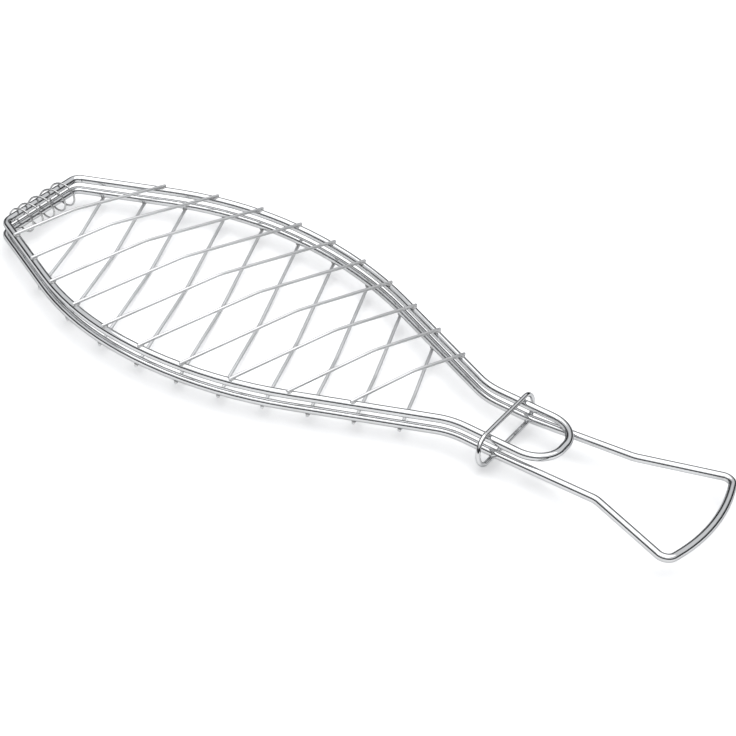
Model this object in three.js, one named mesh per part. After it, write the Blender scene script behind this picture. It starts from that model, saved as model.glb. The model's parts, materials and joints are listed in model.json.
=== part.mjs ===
// Fish-shaped grill basket of bent and welded steel wire.
//
// Two wire halves face each other. Each is one heavy wire bent to a closed fish outline, crossed by
// ten light wires that are welded to its outside. A loose coil of thin wire round both nose bars is
// the hinge, and a loose wire ring round both necks keeps the halves shut. The lower outline runs
// on behind the neck as the handle, whose end spreads like a tail fin.
//
// Millimetres, +Z up. X runs from the hinge to the handle, Y across the basket. The basket is drawn
// from the nose bars, which lie at x = 0, and from halfway between the two halves, and then moved so
// that the origin is at the middle of its underside.

import * as THREE from 'three';

// ---- driving dimensions ----

// wires
const FRAME_WIRE = 5.0;
const CROSS_WIRE = 2.0;
const RING_WIRE = 2.8;
const COIL_WIRE = 1.2;

// the two halves
const RIM_SPACING = 8.4; // between the centres of the two heavy wires
const CONTACT_GAP = 0.1; // between wires that lie on each other

// fish outline, to the centre of the heavy wire
const NOSE_HALF = 34;
const NOSE_RADIUS = 7;
const FRONT_LENGTH = 137.2; // from the nose bar to where the fish is widest
const REAR_LENGTH = 176.5; // from there to the neck's corner
const BELLY_HALF = 82.5;
const FRONT_ANGLE = 27.5; // of the straight stretches to the X axis, in degrees
const REAR_ANGLE = 26;
const NECK_HALF = 20.5;
const NECK_RADIUS = 38;

// closed end of the upper outline, lying over the handle
const LOOP_LENGTH = 61; // behind the neck's corner
const LOOP_RADIUS = 18;

// handle, which rises from the lower neck to just past halfway between the halves and runs on level
const RISE_START = 30.5; // behind the neck's corner
const RISE_PAST_MIDDLE = 0.2;
const RISE_RADIUS = 70;
const HANDLE_LENGTH = 94.5; // from the neck's corner to the bend where the tail starts
const HANDLE_SPREAD = 3; // of each leg, outwards between the neck and that bend
const HANDLE_BEND_RADIUS = 14;
const TAIL_LENGTH = 53; // from that bend to the tail's corner
const TAIL_HALF = 44;
const TAIL_CORNER_RADIUS = 6;
const TAIL_BULGE = 7.5; // of the tail bar past its corners
const TAIL_ARC_CORNER = 19; // off the middle, where the tangents of the tail bar's arc meet
const TAIL_BAR_RADIUS = 128;

// cross wires, evenly spaced between the first and the last
const CROSS_COUNT = 10;
const FIRST_CROSS_GAP = 30.2; // behind the nose bar
const LAST_CROSS_GAP = 36; // ahead of the neck's corner
const CROSS_SLANT = 18; // to the Y axis, in degrees; the two halves slant opposite ways
const RIDGE_ANGLE = 4; // rise of a cross wire from the rim to the ridge, in degrees
const RIDGE_SHIFT = 3; // of the ridge line off the middle, to opposite sides in the two halves
const RIDGE_FLAT = 4; // straight level stretch at the top of the ridge
const CROSS_OVERHANG = 2.2; // past the centre of the heavy wire

// hinge coil
const COIL_CLEARANCE = 0.56; // between the nose bars and the inside of the coil
const COIL_TURNS = 5;
const COIL_END_GAP = 11; // from each end of the coil to the nose's corner, along Y
const COIL_CROWDING = 1.1; // radians; the turns crowd together towards both ends
const COIL_SET_BACK = 2.2; // of the loose coil behind the nose bars

// locking ring, round both necks
const RING_PLACE = 25.5; // behind the neck's corner
const RING_CLEARANCE = 0.8; // between the ring's top and bottom bars and the necks
const RING_OVERHANG = 11.5; // of each rounded end past the neck, from centre to centre of the wires
const RING_SIDE_SHIFT = 2; // of the loose ring to the -Y side
const RING_LEAN = 12; // bottom bar ahead of the top bar, in degrees

// facets
const FRAME_SIDES = 8;
const CROSS_SIDES = 6;
const COIL_SIDES = 6;
const COIL_STEPS = 12; // in each turn
const BEND_STEP = 9; // largest turn between two stations of a bend, in degrees

const degrees = THREE.MathUtils.degToRad;

// ---- bent wire ----

// A wire's centre line as a list of stations, each with its point and its tangent. The swept
// geometry takes one section at each, so straight stretches cost nothing.
class WirePath extends THREE.Curve {
  constructor(points, tangents) {
    super();
    this.points = points;
    this.tangents = tangents;
    this.steps = points.length - 1;
  }

  getPointAt(share, target = new THREE.Vector3()) {
    return target.copy(this.points[Math.round(share * this.steps)]);
  }

  getTangentAt(share, target = new THREE.Vector3()) {
    return target.copy(this.tangents[Math.round(share * this.steps)]);
  }

  getPoint(share, target) {
    return this.getPointAt(share, target);
  }

  getTangent(share, target) {
    return this.getTangentAt(share, target);
  }

  // a closed path lists its first station again at the end
  get closed() {
    return this.points[0].distanceTo(this.points[this.steps]) < 1e-9;
  }
}

// Stations of one bend: the arc of the given radius that rounds a corner.
function bendStations(before, corner, after, radius) {
  const arriving = corner.clone().sub(before).normalize();
  const leaving = after.clone().sub(corner).normalize();
  const turn = arriving.angleTo(leaving);
  const reach = radius * Math.tan(turn / 2);
  const axis = new THREE.Vector3().crossVectors(arriving, leaving).normalize();
  const inward = new THREE.Vector3().crossVectors(axis, arriving);
  const start = corner.clone().addScaledVector(arriving, -reach);
  const centre = start.clone().addScaledVector(inward, radius);
  const steps = Math.max(2, Math.ceil(turn / degrees(BEND_STEP)));
  const stations = [];
  for (let i = 0; i <= steps; i++) {
    const angle = (turn * i) / steps;
    const point = start.clone().sub(centre).applyAxisAngle(axis, angle).add(centre);
    const tangent = arriving.clone().applyAxisAngle(axis, angle);
    stations.push({ point, tangent });
  }
  return stations;
}

// A wire bent at each corner ({ at, radius }) and straight in between.
function bentWire(corners, closed) {
  const count = corners.length;
  const stations = [];
  if (!closed) {
    const tangent = corners[1].at.clone().sub(corners[0].at).normalize();
    stations.push({ point: corners[0].at.clone(), tangent });
  }
  const first = closed ? 0 : 1;
  const last = closed ? count : count - 1;
  for (let i = first; i < last; i++) {
    const before = corners[(i + count - 1) % count].at;
    const after = corners[(i + 1) % count].at;
    stations.push(...bendStations(before, corners[i].at, after, corners[i].radius));
  }
  if (closed) {
    stations.push({ point: stations[0].point.clone(), tangent: stations[0].tangent.clone() });
  } else {
    const tangent = corners[count - 1].at.clone().sub(corners[count - 2].at).normalize();
    stations.push({ point: corners[count - 1].at.clone(), tangent });
  }
  const apart = stations.filter(
    (station, i) => i === 0 || station.point.distanceTo(stations[i - 1].point) > 0.02,
  );
  return new WirePath(apart.map((s) => s.point), apart.map((s) => s.tangent));
}

// Round bar section with a flat side across the bottom.
function sectionShape(diameter, sides) {
  const points = [];
  for (let i = 0; i < sides; i++) {
    const angle = (2 * Math.PI * (i + 0.5)) / sides;
    points.push(new THREE.Vector2(Math.cos(angle), Math.sin(angle)).multiplyScalar(diameter / 2));
  }
  return new THREE.Shape(points);
}

// The solid of a wire: a closed loop has no ends, an open wire is cut square at both.
function wireSolid(path, diameter, sides) {
  if (path.closed) {
    return new THREE.TubeGeometry(path, path.steps, diameter / 2, sides, true);
  }
  return new THREE.ExtrudeGeometry(sectionShape(diameter, sides), {
    extrudePath: path,
    steps: path.steps,
    bevelEnabled: false,
  });
}

// ---- outlines of the two halves ----

const rimZ = RIM_SPACING / 2;
const neckX = FRONT_LENGTH + REAR_LENGTH;

// Mirrors the corners of one side, given from the nose to the back, into a closed loop. A corner's
// rise is its height over the rim, which lies at z.
function closedOutline(side, z) {
  const corner = ({ x, y, radius, rise = 0 }, across) => ({
    at: new THREE.Vector3(x, y * across, z + rise),
    radius,
  });
  const left = side.map((place) => corner(place, 1));
  const right = side.map((place) => corner(place, -1));
  return bentWire([...left, ...right.reverse()], true);
}

// One side of the fish: the nose corner, the belly and the neck. The belly is two arcs that meet
// where the fish is widest, each as large as the straight stretch beside it leaves room for.
function fishSide() {
  const front = degrees(FRONT_ANGLE);
  const rear = degrees(REAR_ANGLE);
  const frontReach = FRONT_LENGTH - (BELLY_HALF - NOSE_HALF) / Math.tan(front);
  const rearReach = REAR_LENGTH - (BELLY_HALF - NECK_HALF) / Math.tan(rear);
  return [
    { x: 0, y: NOSE_HALF, radius: NOSE_RADIUS },
    { x: FRONT_LENGTH - frontReach, y: BELLY_HALF, radius: frontReach / Math.tan(front / 2) },
    { x: FRONT_LENGTH + rearReach, y: BELLY_HALF, radius: rearReach / Math.tan(rear / 2) },
    { x: neckX, y: NECK_HALF, radius: NECK_RADIUS },
  ];
}

const rise = rimZ + RISE_PAST_MIDDLE;
const handleBendX = neckX + HANDLE_LENGTH;
const tailCornerX = handleBendX + TAIL_LENGTH;
const upperSide = [
  ...fishSide(),
  { x: neckX + LOOP_LENGTH, y: NECK_HALF, radius: LOOP_RADIUS },
];
const lowerSide = [
  ...fishSide(),
  { x: neckX + RISE_START, y: NECK_HALF, radius: RISE_RADIUS },
  { x: handleBendX, y: NECK_HALF + HANDLE_SPREAD, radius: HANDLE_BEND_RADIUS, rise },
  { x: tailCornerX, y: TAIL_HALF, radius: TAIL_CORNER_RADIUS, rise },
  { x: tailCornerX + TAIL_BULGE, y: TAIL_ARC_CORNER, radius: TAIL_BAR_RADIUS, rise },
];
const upperOutline = closedOutline(upperSide, rimZ);
const lowerOutline = closedOutline(lowerSide, -rimZ);

// ---- cross wires ----

// Where a line in plan from (x, 0), leaning by the slant, meets the outline on one side.
function reachToRim(outline, x, slant, side) {
  const along = new THREE.Vector2(side * Math.sin(slant), side * Math.cos(slant));
  for (let i = 0; i < outline.steps; i++) {
    const a = outline.points[i];
    const b = outline.points[i + 1];
    const edge = new THREE.Vector2(b.x - a.x, b.y - a.y);
    const start = new THREE.Vector2(a.x - x, a.y);
    const spread = along.cross(edge);
    const distance = start.cross(edge) / spread;
    const share = start.cross(along) / spread;
    if (distance > 0 && share >= 0 && share <= 1) return along.multiplyScalar(distance);
  }
  throw new Error('a cross wire misses the rim');
}

// One cross wire, lying on the outside of its rim and bent up to a short level ridge near the
// middle. side is 1 for the upper half and -1 for the lower half.
function crossWire(outline, x, side) {
  const slant = degrees(CROSS_SLANT) * side;
  const seat = side * (rimZ + (FRAME_WIRE + CROSS_WIRE) / 2 + CONTACT_GAP);
  const near = reachToRim(outline, x, slant, -1);
  const far = reachToRim(outline, x, slant, 1);
  const rise = (side * Math.tan(degrees(RIDGE_ANGLE)) * (near.length() + far.length())) / 2;
  const along = far.clone().normalize();
  const place = (distance, z) =>
    new THREE.Vector3(x + along.x * distance, along.y * distance, z);
  const ridge = -side * RIDGE_SHIFT;
  const path = bentWire([
    { at: place(-near.length() - CROSS_OVERHANG, seat) },
    { at: place(ridge - RIDGE_FLAT / 2, seat + rise), radius: CROSS_WIRE * 2 },
    { at: place(ridge + RIDGE_FLAT / 2, seat + rise), radius: CROSS_WIRE * 2 },
    { at: place(far.length() + CROSS_OVERHANG, seat) },
  ], false);
  return wireSolid(path, CROSS_WIRE, CROSS_SIDES);
}

// ---- hinge coil ----

// Helix along Y, round both nose bars.
function hingeCoil() {
  const reach = Math.hypot(COIL_SET_BACK, rimZ) + FRAME_WIRE / 2; // of a nose bar from the axis
  const radius = reach + COIL_CLEARANCE + COIL_WIRE / 2;
  const half = NOSE_HALF - COIL_END_GAP;
  const steps = COIL_TURNS * COIL_STEPS;
  const points = [];
  const tangents = [];
  for (let i = 0; i <= steps; i++) {
    const turn = (2 * Math.PI * i) / COIL_STEPS;
    const share = (2 * i) / steps - 1;
    const y = (half * Math.sin(COIL_CROWDING * share)) / Math.sin(COIL_CROWDING);
    const lead = (half * COIL_CROWDING * Math.cos(COIL_CROWDING * share)) /
      (Math.sin(COIL_CROWDING) * COIL_TURNS * Math.PI);
    const point = new THREE.Vector3(-Math.cos(turn), 0, Math.sin(turn)).multiplyScalar(radius);
    const tangent = new THREE.Vector3(radius * Math.sin(turn), lead, radius * Math.cos(turn));
    points.push(point.add(new THREE.Vector3(COIL_SET_BACK, y, 0)));
    tangents.push(tangent.normalize());
  }
  return wireSolid(new WirePath(points, tangents), COIL_WIRE, COIL_SIDES);
}

// ---- locking ring ----

// A flat loop with half-round ends, standing across the necks and leaning.
function lockingRing() {
  const between = RIM_SPACING + FRAME_WIRE + RING_WIRE + 2 * RING_CLEARANCE;
  const endRadius = between / 2 / Math.cos(degrees(RING_LEAN));
  const half = NECK_HALF + RING_OVERHANG;
  const squares = [[1, -1], [1, 1], [-1, 1], [-1, -1]];
  const corners = squares.map(([across, up]) => ({
    at: new THREE.Vector3(0, across * half, up * endRadius),
    radius: endRadius,
  }));
  return wireSolid(bentWire(corners, true), RING_WIRE, FRAME_SIDES);
}

// ---- assembly ----

const chrome = { color: 0xd9dbdd, roughness: 0.12, metalness: 1 };
const brightWire = { color: 0xcdcfd1, roughness: 0.2, metalness: 1 };
const springSteel = { color: 0xb9bbbd, roughness: 0.28, metalness: 1 };

const basket = new THREE.Group();

function addPiece(name, geometry, finish, parent = basket) {
  const mesh = new THREE.Mesh(geometry, new THREE.MeshStandardMaterial(finish));
  mesh.name = name;
  parent.add(mesh);
  return mesh;
}

addPiece('upper_frame_wire', wireSolid(upperOutline, FRAME_WIRE, FRAME_SIDES), chrome);
addPiece('lower_frame_wire', wireSolid(lowerOutline, FRAME_WIRE, FRAME_SIDES), chrome);

const crossPitch = (neckX - FIRST_CROSS_GAP - LAST_CROSS_GAP) / (CROSS_COUNT - 1);
for (let i = 0; i < CROSS_COUNT; i++) {
  const x = FIRST_CROSS_GAP + crossPitch * i;
  const number = String(i + 1).padStart(2, '0');
  addPiece(`upper_cross_wire_${number}`, crossWire(upperOutline, x, 1), brightWire);
  addPiece(`lower_cross_wire_${number}`, crossWire(lowerOutline, x, -1), brightWire);
}

addPiece('hinge_coil', hingeCoil(), springSteel);

const ring = addPiece('locking_ring', lockingRing(), chrome);
ring.position.set(neckX + RING_PLACE, -RING_SIDE_SHIFT, 0);
ring.rotation.y = -degrees(RING_LEAN);

const box = new THREE.Box3().setFromObject(basket, true);
const middle = box.getCenter(new THREE.Vector3());
basket.position.set(-middle.x, -middle.y, -box.min.z);

export default basket;
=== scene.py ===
"""Fish-shaped grill basket of bent, welded and chrome-plated steel wire, closed and lying flat.

Every wire is made as it is bent: a round section is drawn straight and turned about each bend.
Lengths are in metres. X runs from the hinge to the handle, Y across the basket and Z up.
"""

import json
import math

import bmesh
import bpy
from mathutils import Matrix, Vector


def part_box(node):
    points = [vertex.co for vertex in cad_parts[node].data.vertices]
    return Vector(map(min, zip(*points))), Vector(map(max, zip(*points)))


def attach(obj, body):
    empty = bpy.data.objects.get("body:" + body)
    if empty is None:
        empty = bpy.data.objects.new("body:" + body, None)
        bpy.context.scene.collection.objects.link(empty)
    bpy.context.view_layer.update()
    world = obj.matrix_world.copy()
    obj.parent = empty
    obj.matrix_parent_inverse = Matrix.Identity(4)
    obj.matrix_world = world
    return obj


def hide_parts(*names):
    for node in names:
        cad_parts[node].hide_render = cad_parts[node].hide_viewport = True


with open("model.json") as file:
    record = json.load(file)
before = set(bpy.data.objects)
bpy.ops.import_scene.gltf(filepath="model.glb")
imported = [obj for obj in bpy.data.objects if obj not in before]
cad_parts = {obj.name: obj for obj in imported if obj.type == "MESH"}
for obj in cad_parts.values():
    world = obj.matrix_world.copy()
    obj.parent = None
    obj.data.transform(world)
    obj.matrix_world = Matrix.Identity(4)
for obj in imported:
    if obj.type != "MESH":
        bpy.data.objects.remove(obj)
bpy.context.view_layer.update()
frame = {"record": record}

MM = 0.001

# ---- wires ----
FRAME_WIRE = 5.0 * MM
CROSS_WIRE = 2.0 * MM
RING_WIRE = 2.8 * MM
COIL_WIRE = 1.2 * MM
FRAME_SIDES = 32
CROSS_SIDES = 18
RING_SIDES = 24
COIL_SIDES = 14
BEND_STEP = math.radians(3)

# ---- fish outline, to the centre of the heavy wire ----
NOSE_HALF = 34 * MM
NOSE_RADIUS = 7 * MM
FRONT_ANGLE = math.radians(27.5)
FRONT_RADIUS = 180 * MM
REAR_ANGLE = math.radians(26)
REAR_RADIUS = 214 * MM
NECK_HALF = 20.5 * MM
NECK_RADIUS = 38 * MM
LOOP_RADIUS = 18 * MM

# ---- handle: lengths along X are measured from the middle of the tail bar ----
RISE_START_BACK = 124.5 * MM
HANDLE_RISE = 4.4 * MM
RISE_RADIUS = 70 * MM
HANDLE_BEND_BACK = 60.5 * MM
HANDLE_HALF = 23.5 * MM
HANDLE_BEND_RADIUS = 14 * MM
TAIL_CORNER_BACK = 7.5 * MM
TAIL_HALF = 44 * MM
TAIL_CORNER_RADIUS = 6 * MM
TAIL_ARC_CORNER = 19 * MM
TAIL_BAR_RADIUS = 128 * MM

# ---- cross wires ----
CROSS_COUNT = 10
CROSS_SLANT = math.radians(18)
CROSS_OVERHANG = 2.2 * MM
RIDGE_SHIFT = 3 * MM
RIDGE_FLAT = 4 * MM
RIDGE_RADIUS = 4 * MM
WELD_SINK = 0.4 * MM  # how far a cross wire is pressed into the heavy wire
WELD_HALF = Vector((1.75, 2.3, 0.62)) * MM  # across the cross wire, along it, up
CUT_BEVEL = 0.28 * MM

# ---- hinge coil and locking ring ----
COIL_DIAMETER = 18 * MM
COIL_TURNS = 5
COIL_HALF = 23 * MM
COIL_CROWDING = 1.1
COIL_STEPS = 40
RING_CLEARANCE = 0.8 * MM
RING_LEAN = math.radians(12)
BUTT_BEAD = Vector((1.6, 0.75, 1.6)) * MM

UP = Vector((0, 0, 1))
ACROSS = Vector((0, 1, 0))


# ---- bent wire ----


class BentWire:
    """A wire as it is drawn and bent. It holds the open end that the next stretch starts from.

    Each vertex keeps its place on the straightened wire in the layer "wire": across, across, along.
    """

    def __init__(self, bm, at, heading, diameter, sides):
        self.bm = bm
        self.at = at.copy()
        self.heading = heading.normalized()
        self.drawn = 0.0
        layers = bm.verts.layers.float_vector
        self.place = layers.get("wire") or layers.new("wire")
        turn = self.heading.to_track_quat("Z", "Y").to_matrix().to_4x4()
        made = bmesh.ops.create_circle(
            bm, cap_ends=False, segments=sides, radius=diameter / 2,
            matrix=Matrix.Translation(at) @ turn,
        )
        self.verts = made["verts"]
        for vert in self.verts:
            vert[self.place] = turn.to_3x3().inverted() @ (vert.co - at)
        self.first = list(self.verts)

    def rim(self, verts):
        """The edges that join these vertices to each other."""
        chosen = set(verts)
        around = dict.fromkeys(edge for vert in verts for edge in vert.link_edges)
        return [edge for edge in around if set(edge.verts) <= chosen]

    def advance(self, verts, length):
        self.drawn += length
        self.verts = verts
        for vert in verts:
            vert[self.place].z = self.drawn

    def straight(self, length):
        if length < 1e-6:
            return
        made = bmesh.ops.extrude_edge_only(self.bm, edges=self.rim(self.verts))["geom"]
        verts = [item for item in made if isinstance(item, bmesh.types.BMVert)]
        bmesh.ops.translate(self.bm, verts=verts, vec=self.heading * length)
        self.at += self.heading * length
        self.advance(verts, length)

    def turn(self, centre, axis, angle, steps, lead=None):
        """Turns about an axis in equal steps; lead(step) moves a step on along the axis."""
        for step in range(steps):
            shift = axis * (lead(step) if lead else 0.0)
            made = bmesh.ops.spin(
                self.bm, geom=self.verts + self.rim(self.verts), cent=centre, axis=axis, dvec=shift,
                angle=angle / steps, steps=1, use_merge=False, use_duplicate=False,
            )["geom_last"]
            verts = [item for item in made if isinstance(item, bmesh.types.BMVert)]
            radius = (self.at - centre).cross(axis).length
            self.at = centre + Matrix.Rotation(angle / steps, 3, axis) @ (self.at - centre) + shift
            self.advance(verts, math.hypot(radius * angle / steps, shift.length))

    def bend(self, after, radius):
        """Bends towards a new heading."""
        angle = self.heading.angle(after)
        if angle < 1e-4:
            return
        axis = self.heading.cross(after).normalized()
        centre = self.at + axis.cross(self.heading) * radius
        self.turn(centre, axis, angle, max(2, math.ceil(angle / BEND_STEP)))
        self.heading = after

    def follow(self, corners):
        """Draws through corners (point, bend radius); the last one is where the wire ends."""
        for (corner, radius), (following, _) in zip(corners, corners[1:]):
            after = (following - corner).normalized()
            reach = radius * math.tan(self.heading.angle(after) / 2)
            self.straight((corner - self.at).length - reach)
            self.bend(after, radius)
        self.straight((corners[-1][0] - self.at).length)

    def cut_ends(self):
        """Closes both ends with a sheared face and breaks its edge."""
        for verts in (self.first, self.verts):
            edges = self.rim(verts)
            bmesh.ops.contextual_create(self.bm, geom=edges)
            bmesh.ops.bevel(
                self.bm, geom=edges, offset=CUT_BEVEL, segments=2, affect="EDGES", profile=0.5, material=-1,
            )


def add_bead(bm, at, half, turn=Matrix.Identity(3)):
    """A small lump of fused metal. Its vertices are marked in the layer "weld"."""
    layers = bm.verts.layers.float
    weld = layers.get("weld") or layers.new("weld")
    place = Matrix.Translation(at) @ turn.to_4x4() @ Matrix.Diagonal((*half, 1))
    for vert in bmesh.ops.create_icosphere(bm, subdivisions=3, radius=1, matrix=place)["verts"]:
        vert[weld] = 1.0


def finished_piece(bm, name, node, material):
    """Makes a mesh the piece that stands for a CAD node and rides on its body."""
    bmesh.ops.remove_doubles(bm, verts=bm.verts, dist=1e-6)
    bmesh.ops.recalc_face_normals(bm, faces=bm.faces)
    for face in bm.faces:
        face.smooth = True
    mesh = bpy.data.meshes.new(name)
    bm.to_mesh(mesh)
    bm.free()
    mesh.materials.append(material)
    piece = bpy.data.objects.new(name, mesh)
    bpy.context.scene.collection.objects.link(piece)
    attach(piece, body_of[node])
    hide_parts(node)
    return piece


# ---- outlines of the two halves ----


def fish_side(nose_x, belly_half, z):
    """Corners of one side of the fish, from the nose to the neck."""
    front_reach = FRONT_RADIUS * math.tan(FRONT_ANGLE / 2)
    rear_reach = REAR_RADIUS * math.tan(REAR_ANGLE / 2)
    front_x = nose_x + (belly_half - NOSE_HALF) / math.tan(FRONT_ANGLE)
    rear_x = front_x + front_reach + rear_reach
    neck_x = rear_x + (belly_half - NECK_HALF) / math.tan(REAR_ANGLE)
    return [
        (Vector((nose_x, NOSE_HALF, z)), NOSE_RADIUS),
        (Vector((front_x, belly_half, z)), FRONT_RADIUS),
        (Vector((rear_x, belly_half, z)), REAR_RADIUS),
        (Vector((neck_x, NECK_HALF, z)), NECK_RADIUS),
    ]


def upper_side():
    low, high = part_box("upper_frame_wire")
    wire = FRAME_WIRE / 2
    end_x = high.x - wire
    z = high.z - wire
    return fish_side(low.x + wire, high.y - wire, z) + [
        (Vector((end_x, NECK_HALF, z)), LOOP_RADIUS),
        (Vector((end_x, 0, z)), 0),
    ]


def lower_side():
    low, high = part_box("lower_frame_wire")
    wire = FRAME_WIRE / 2
    tail_x = high.x - wire
    z = low.z + wire
    top = z + HANDLE_RISE
    return fish_side(low.x + wire, high.y - wire, z) + [
        (Vector((tail_x - RISE_START_BACK, NECK_HALF, z)), RISE_RADIUS),
        (Vector((tail_x - HANDLE_BEND_BACK, HANDLE_HALF, top)), HANDLE_BEND_RADIUS),
        (Vector((tail_x - TAIL_CORNER_BACK, TAIL_HALF, top)), TAIL_CORNER_RADIUS),
        (Vector((tail_x, TAIL_ARC_CORNER, top)), TAIL_BAR_RADIUS),
        (Vector((tail_x, 0, top)), 0),
    ]


def frame_wire(name, node, side, material):
    """One side is bent from the middle of the nose bar to the middle of the far end, then mirrored."""
    bm = bmesh.new()
    start = side[0][0].copy()
    start.y = 0
    BentWire(bm, start, ACROSS, FRAME_WIRE, FRAME_SIDES).follow(side)
    everything = bm.verts[:] + bm.edges[:] + bm.faces[:]
    bmesh.ops.mirror(bm, geom=everything, matrix=Matrix.Identity(4), merge_dist=1e-6, axis="Y")
    return finished_piece(bm, name, node, material)


# ---- cross wires ----


def cross_wire(name, node, up, rim_z, material):
    """A light wire across one rim: a ridge near its middle, a weld at each crossing, two cut ends.

    up is 1 on the upper half and -1 on the lower half.
    """
    low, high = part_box(node)
    wire = CROSS_WIRE / 2
    along = Vector((up * math.sin(CROSS_SLANT), math.cos(CROSS_SLANT), 0))
    far = Vector((high.x if up > 0 else low.x, high.y, 0))
    near = Vector((low.x if up > 0 else high.x, low.y, 0))
    corner = Vector((up * math.cos(CROSS_SLANT), math.sin(CROSS_SLANT), 0)) * wire
    far -= corner
    near += corner
    seat_z = rim_z + up * ((FRAME_WIRE + CROSS_WIRE) / 2 - WELD_SINK)
    ridge_z = (high.z - wire) if up > 0 else (low.z + wire)
    middle = near - along * (near.y / along.y)
    ridge = middle - along * (up * RIDGE_SHIFT)
    corners = [
        (near + UP * seat_z, 0),
        (ridge - along * (RIDGE_FLAT / 2) + UP * ridge_z, RIDGE_RADIUS),
        (ridge + along * (RIDGE_FLAT / 2) + UP * ridge_z, RIDGE_RADIUS),
        (far + UP * seat_z, 0),
    ]
    bm = bmesh.new()
    drawn = BentWire(bm, corners[0][0], corners[1][0] - corners[0][0], CROSS_WIRE, CROSS_SIDES)
    drawn.follow(corners[1:])
    drawn.cut_ends()
    contact_z = rim_z + up * (FRAME_WIRE / 2 - WELD_SINK / 2)
    turn = Matrix.Rotation(-up * CROSS_SLANT, 3, "Z")
    for end, inward in ((near, along), (far, -along)):
        add_bead(bm, end + inward * CROSS_OVERHANG + UP * contact_z, WELD_HALF, turn)
    return finished_piece(bm, name, node, material)


# ---- hinge coil ----


def hinge_coil(name, node, material):
    """Spring wire wound round both nose bars, its turns crowded towards the ends."""
    low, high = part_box(node)
    radius = (COIL_DIAMETER - COIL_WIRE) / 2
    centre = (low + high) / 2
    centre.y = 0
    steps = COIL_TURNS * COIL_STEPS

    def across(step):
        share = 2 * step / steps - 1
        return COIL_HALF * math.sin(COIL_CROWDING * share) / math.sin(COIL_CROWDING)

    bm = bmesh.new()
    start = centre + Vector((-radius, across(0), 0))
    wire = BentWire(bm, start, UP, COIL_WIRE, COIL_SIDES)
    wire.turn(centre, ACROSS, math.tau * COIL_TURNS, steps, lambda i: across(i + 1) - across(i))
    wire.cut_ends()
    return finished_piece(bm, name, node, material)


# ---- locking ring ----


def locking_ring(name, node, rim_spacing, material):
    """A flat loop with half-round ends that leans; its two wire ends are fused at the near side."""
    low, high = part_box(node)
    centre = (low + high) / 2
    half = (high.y - low.y - RING_WIRE) / 2
    end_radius = (rim_spacing + FRAME_WIRE + RING_WIRE) / 2 + RING_CLEARANCE
    end_radius /= math.cos(RING_LEAN)
    bm = bmesh.new()
    top = Vector((0, 0, end_radius))
    wire = BentWire(bm, top, ACROSS, RING_WIRE, RING_SIDES)
    wire.follow([
        (Vector((0, half, end_radius)), end_radius),
        (Vector((0, half, -end_radius)), end_radius),
        (Vector((0, -half, -end_radius)), end_radius),
        (Vector((0, -half, end_radius)), end_radius),
        (top, 0),
    ])
    add_bead(bm, Vector((0, end_radius - half, end_radius)), BUTT_BEAD)
    bmesh.ops.remove_doubles(bm, verts=bm.verts, dist=1e-6)
    lean = Matrix.Translation(centre) @ Matrix.Rotation(-RING_LEAN, 4, "Y")
    bmesh.ops.transform(bm, verts=bm.verts, matrix=lean)
    return finished_piece(bm, name, node, material)


# ---- shader node groups ----


def new_group(name, inputs, outputs):
    """An empty node group; inputs are (name, default) and outputs are (name, socket kind)."""
    group = bpy.data.node_groups.new(name, "ShaderNodeTree")
    for label, default in inputs:
        kind = "NodeSocketColor" if isinstance(default, tuple) else "NodeSocketFloat"
        group.interface.new_socket(label, in_out="INPUT", socket_type=kind).default_value = default
    for label, kind in outputs:
        group.interface.new_socket(label, in_out="OUTPUT", socket_type=kind)
    return group, group.nodes.new("NodeGroupInput"), group.nodes.new("NodeGroupOutput")


def add_node(tree, kind, settings=None, **inputs):
    """Adds a node. Inputs may be sockets or values.

    They are named with underscores for spaces, or n0, n1 and so on for their number.
    """
    node = tree.nodes.new(kind)
    for key, value in (settings or {}).items():
        setattr(node, key, value)
    for key, value in inputs.items():
        numbered = key[0] == "n" and key[1:].isdigit()
        socket = node.inputs[int(key[1:]) if numbered else key.replace("_", " ")]
        if isinstance(value, bpy.types.NodeSocket):
            tree.links.new(value, socket)
        else:
            socket.default_value = value
    return node


def math_node(tree, operation, first, second=0.0, clamp=False):
    settings = {"operation": operation, "use_clamp": clamp}
    return add_node(tree, "ShaderNodeMath", settings, n0=first, n1=second).outputs[0]


def mix_colour(tree, factor, first, second):
    node = tree.nodes.new("ShaderNodeMix")
    node.data_type = "RGBA"
    for socket, value in ((node.inputs[0], factor), (node.inputs[6], first), (node.inputs[7], second)):
        if isinstance(value, bpy.types.NodeSocket):
            tree.links.new(value, socket)
        else:
            socket.default_value = value
    return node.outputs[2]


def drawn_wire_group():
    """Fine lines along the wire that the drawing die leaves under the plating."""
    group, given, result = new_group(
        "drawn wire lines",
        [("Across", 2600.0), ("Along", 45.0), ("Waviness", 60.0)],
        [("Lines", "NodeSocketFloat"), ("Waves", "NodeSocketFloat")],
    )
    place = add_node(group, "ShaderNodeAttribute", {"attribute_name": "wire"}).outputs["Vector"]
    parts = add_node(group, "ShaderNodeSeparateXYZ", Vector=place)
    stretched = add_node(
        group, "ShaderNodeCombineXYZ",
        X=math_node(group, "MULTIPLY", parts.outputs["X"], given.outputs["Across"]),
        Y=math_node(group, "MULTIPLY", parts.outputs["Y"], given.outputs["Across"]),
        Z=math_node(group, "MULTIPLY", parts.outputs["Z"], given.outputs["Along"]),
    ).outputs[0]
    lines = add_node(group, "ShaderNodeTexNoise", Vector=stretched, Scale=1.0, Detail=3.0, Roughness=0.6)
    waves = add_node(
        group, "ShaderNodeTexNoise", Vector=place, Scale=given.outputs["Waviness"], Detail=2.0,
    )
    group.links.new(lines.outputs["Fac"], result.inputs["Lines"])
    group.links.new(waves.outputs["Fac"], result.inputs["Waves"])
    return group


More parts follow.
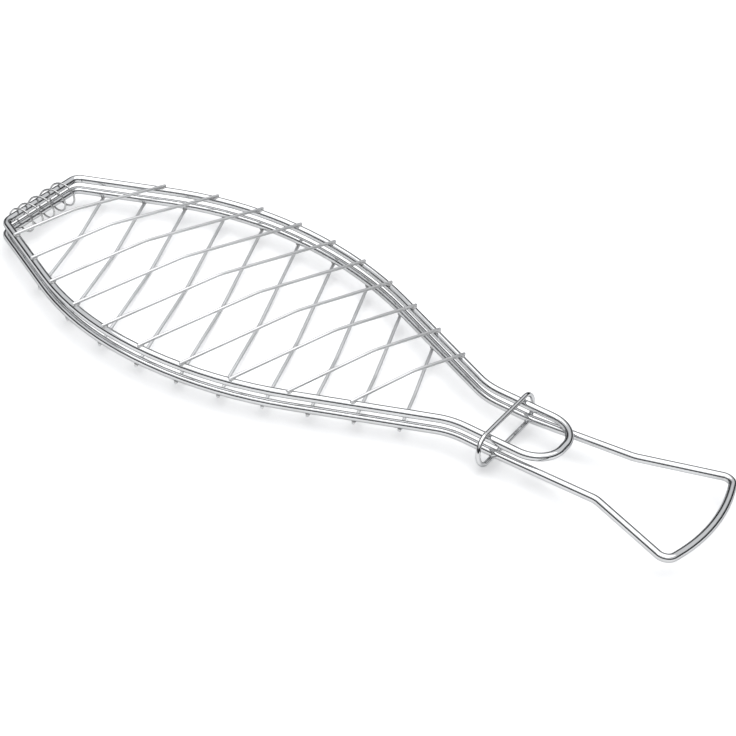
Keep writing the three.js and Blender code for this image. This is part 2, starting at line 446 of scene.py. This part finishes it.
SPECK_SHARPNESS = 14.0  # how steeply a speck's edge rises


def handling_group():
    """Faint finger haze and small dry specks left on the plating."""
    group, given, result = new_group(
        "handling haze",
        [("Haze Scale", 38.0), ("Speck Scale", 900.0), ("Speck Share", 0.72)],
        [("Haze", "NodeSocketFloat"), ("Specks", "NodeSocketFloat")],
    )
    place = add_node(group, "ShaderNodeTexCoord").outputs["Object"]
    haze = add_node(
        group, "ShaderNodeTexNoise",
        Vector=place, Scale=given.outputs["Haze Scale"], Detail=4.0, Roughness=0.55,
    )
    soft = add_node(
        group, "ShaderNodeMapRange", {"clamp": True},
        Value=haze.outputs["Fac"], From_Min=0.42, From_Max=0.68,
    )
    specks = add_node(
        group, "ShaderNodeTexNoise", Vector=place, Scale=given.outputs["Speck Scale"], Detail=1.0,
    )
    sharp = math_node(group, "SUBTRACT", specks.outputs["Fac"], given.outputs["Speck Share"])
    edged = math_node(group, "MULTIPLY", sharp, SPECK_SHARPNESS, clamp=True)
    group.links.new(soft.outputs[0], result.inputs["Haze"])
    group.links.new(edged, result.inputs["Specks"])
    return group


def weld_group():
    """How dull and dark the plating is on fused metal, with its grainy relief."""
    group, given, result = new_group(
        "weld bloom",
        [("Grain Scale", 1500.0), ("Strength", 1.0)],
        [("Bloom", "NodeSocketFloat"), ("Relief", "NodeSocketFloat")],
    )
    place = add_node(group, "ShaderNodeTexCoord").outputs["Object"]
    weld = add_node(group, "ShaderNodeAttribute", {"attribute_name": "weld"}).outputs["Fac"]
    grain = add_node(
        group, "ShaderNodeTexNoise", Vector=place, Scale=given.outputs["Grain Scale"], Detail=3.0,
    )
    strong = math_node(group, "MULTIPLY", weld, given.outputs["Strength"])
    group.links.new(strong, result.inputs["Bloom"])
    group.links.new(math_node(group, "MULTIPLY", grain.outputs["Fac"], strong), result.inputs["Relief"])
    return group


# ---- finishes ----

EDGE_TINT_WITH_PAINTED_EDGE_SHADE = (0.34, 0.345, 0.355, 1)  # how far the plating reflects at a grazing angle; partly the plating's own tint and partly painted shade, set darker than plain chrome so the wire's edges show a grey outline
HAZE_GREY = 0.35  # how far haze, specks and welds turn the bright plating dull
SPECK_GREY = 0.5
WELD_GREY = 0.75
WELD_ROUGHNESS = 0.22
LINE_RELIEF = 0.12  # height of the drawn lines next to the slow waves
RELIEF_STRENGTH = 0.35


def plated_finish(name, groups, bright, dull, line_roughness, haze_roughness, relief, across):
    """Bright plating over drawn wire: lines, haze, specks and dulled welds.

    bright and dull are colours, relief is the depth of the bumps, and across is how many
    drawn lines there are to a metre.
    """
    drawn_wire, handling, weld_bloom = groups
    material = bpy.data.materials.new(name)
    material.use_nodes = True
    tree = material.node_tree
    shader = tree.nodes["Principled BSDF"]
    shader.inputs["Metallic"].default_value = 1.0
    # the grazing tint is partly painted shade: it darkens the wire's edges
    shader.inputs["Specular Tint"].default_value = EDGE_TINT_WITH_PAINTED_EDGE_SHADE
    lines = add_node(tree, "ShaderNodeGroup", {"node_tree": drawn_wire}, Across=across)
    haze = add_node(tree, "ShaderNodeGroup", {"node_tree": handling})
    weld = add_node(tree, "ShaderNodeGroup", {"node_tree": weld_bloom})
    specks = math_node(tree, "MULTIPLY", haze.outputs["Specks"], SPECK_GREY)
    welds = math_node(tree, "MULTIPLY", weld.outputs["Bloom"], WELD_GREY)
    grey = math_node(tree, "MULTIPLY", haze.outputs["Haze"], HAZE_GREY)
    grey = math_node(tree, "ADD", grey, specks)
    grey = math_node(tree, "MAXIMUM", grey, welds, clamp=True)
    tree.links.new(mix_colour(tree, grey, bright, dull), shader.inputs["Base Color"])
    hazed = math_node(tree, "MULTIPLY", haze.outputs["Haze"], haze_roughness)
    grained = math_node(tree, "MULTIPLY", weld.outputs["Bloom"], WELD_ROUGHNESS)
    rough = math_node(tree, "MULTIPLY", lines.outputs["Lines"], line_roughness)
    rough = math_node(tree, "ADD", rough, hazed)
    rough = math_node(tree, "ADD", rough, grained, clamp=True)
    tree.links.new(rough, shader.inputs["Roughness"])
    height = math_node(tree, "MULTIPLY", lines.outputs["Lines"], LINE_RELIEF)
    height = math_node(tree, "ADD", height, lines.outputs["Waves"])
    height = math_node(tree, "ADD", height, weld.outputs["Relief"])
    bump = add_node(tree, "ShaderNodeBump", Strength=RELIEF_STRENGTH, Distance=relief, Height=height)
    tree.links.new(bump.outputs["Normal"], shader.inputs["Normal"])
    return material


def floor_finish():
    material = bpy.data.materials.new("floor_paper")
    material.use_nodes = True
    tree = material.node_tree
    shader = tree.nodes["Principled BSDF"]
    shader.inputs["Roughness"].default_value = 0.9
    shader.inputs["Specular IOR Level"].default_value = 0.2
    place = add_node(tree, "ShaderNodeTexCoord").outputs["Object"]
    tooth = add_node(tree, "ShaderNodeTexNoise", Vector=place, Scale=500.0, Detail=2.0).outputs["Fac"]
    colour = mix_colour(tree, tooth, (0.93, 0.93, 0.93, 1), (0.96, 0.96, 0.96, 1))
    tree.links.new(colour, shader.inputs["Base Color"])
    return material


# ---- scene ----

CAMERA_AZIMUTH = math.radians(27.67)
CAMERA_ELEVATION = math.radians(36.9)
CAMERA_ROLL = math.radians(8.03)
CAMERA_DISTANCE = 1.2192
CAMERA_AIM = Vector((12.06, 2.16, 7.83)) * MM
CAMERA_LENS = 101.73
FLOOR_HALF = 3.0
ROOM_DARK = (0.055, 0.057, 0.06, 1)  # the dim studio near the horizon
DOME_LIGHT = (0.99, 1.0, 1.02, 1)  # the white dome above it
DIM_BELOW = 0.36  # sine of the elevation where the dome starts, and where it is fully white
WHITE_ABOVE = 0.62
OVERHEAD_ELEVATION = math.radians(88)
OVERHEAD_DISTANCE = 1.6
OVERHEAD_SIDE = 2.2
OVERHEAD_POWER = 25


def direction(azimuth, elevation):
    """Unit vector towards an azimuth (0 is -Y, growing towards +X) and an elevation."""
    level = math.cos(elevation)
    return Vector((math.sin(azimuth) * level, -math.cos(azimuth) * level, math.sin(elevation)))


def add_camera():
    away = direction(CAMERA_AZIMUTH, CAMERA_ELEVATION)
    camera = bpy.data.objects.new("camera", bpy.data.cameras.new("camera"))
    camera.data.lens = CAMERA_LENS
    camera.data.sensor_width = 36
    camera.data.clip_end = 20
    turn = away.to_track_quat("Z", "Y").to_matrix() @ Matrix.Rotation(CAMERA_ROLL, 3, "Z")
    camera.matrix_world = Matrix.Translation(CAMERA_AIM + away * CAMERA_DISTANCE) @ turn.to_4x4()
    bpy.context.scene.collection.objects.link(camera)
    bpy.context.scene.camera = camera


def add_overhead():
    """One large square softbox nearly straight above the basket."""
    away = direction(0, OVERHEAD_ELEVATION)
    light = bpy.data.objects.new("overhead", bpy.data.lights.new("overhead", "AREA"))
    light.data.shape = "RECTANGLE"
    light.data.size = OVERHEAD_SIDE
    light.data.size_y = OVERHEAD_SIDE
    light.data.energy = OVERHEAD_POWER
    turn = away.to_track_quat("Z", "Y").to_matrix().to_4x4()
    light.matrix_world = Matrix.Translation(away * OVERHEAD_DISTANCE) @ turn
    bpy.context.scene.collection.objects.link(light)


def add_floor():
    bm = bmesh.new()
    bmesh.ops.create_grid(bm, x_segments=1, y_segments=1, size=FLOOR_HALF)
    mesh = bpy.data.meshes.new("floor")
    bm.to_mesh(mesh)
    bm.free()
    mesh.materials.append(floor_finish())
    floor = bpy.data.objects.new("floor", mesh)
    bpy.context.scene.collection.objects.link(floor)


def add_world():
    """A dim room with a white dome above it, so that round wire shows dark and bright bands."""
    world = bpy.data.worlds.new("studio")
    world.use_nodes = True
    sky = world.node_tree
    background = sky.nodes["Background"]
    facing = add_node(sky, "ShaderNodeTexCoord").outputs["Generated"]
    height = add_node(sky, "ShaderNodeSeparateXYZ", Vector=facing).outputs["Z"]
    dome = add_node(
        sky, "ShaderNodeMapRange", {"clamp": True, "interpolation_type": "SMOOTHSTEP"},
        Value=height, From_Min=DIM_BELOW, From_Max=WHITE_ABOVE,
    ).outputs[0]
    sky.links.new(mix_colour(sky, dome, ROOM_DARK, DOME_LIGHT), background.inputs["Color"])
    bpy.context.scene.world = world


# ---- the basket ----

body_of = {
    node: body for body, nodes in frame["record"]["behaviour"]["bodies"].items() for node in nodes
}


def build_basket():
    groups = (drawn_wire_group(), handling_group(), weld_group())
    heavy = plated_finish(
        "heavy_wire_chrome", groups, bright=(0.60, 0.605, 0.61, 1), dull=(0.44, 0.44, 0.435, 1),
        line_roughness=0.10, haze_roughness=0.06, relief=0.00012, across=2600.0,
    )
    light = plated_finish(
        "cross_wire_chrome", groups, bright=(0.67, 0.675, 0.68, 1), dull=(0.50, 0.50, 0.495, 1),
        line_roughness=0.95, haze_roughness=0.12, relief=0.00008, across=5200.0,
    )
    spring = plated_finish(
        "spring_steel", groups, bright=(0.50, 0.50, 0.50, 1), dull=(0.34, 0.34, 0.335, 1),
        line_roughness=0.36, haze_roughness=0.12, relief=0.00006, across=8000.0,
    )
    upper = upper_side()
    lower = lower_side()
    upper_z = upper[0][0].z
    lower_z = lower[0][0].z
    frame_wire("upper_outline", "upper_frame_wire", upper, heavy)
    frame_wire("lower_outline_and_handle", "lower_frame_wire", lower, heavy)
    for number in range(1, CROSS_COUNT + 1):
        tag = f"{number:02d}"
        cross_wire(f"upper_cross_{tag}", f"upper_cross_wire_{tag}", 1, upper_z, light)
        cross_wire(f"lower_cross_{tag}", f"lower_cross_wire_{tag}", -1, lower_z, light)
    hinge_coil("coil_spring", "hinge_coil", spring)
    locking_ring("neck_ring", "locking_ring", upper_z - lower_z, heavy)


add_camera()
add_floor()
add_world()
add_overhead()
bpy.context.scene.view_settings.view_transform = "Standard"
build_basket()
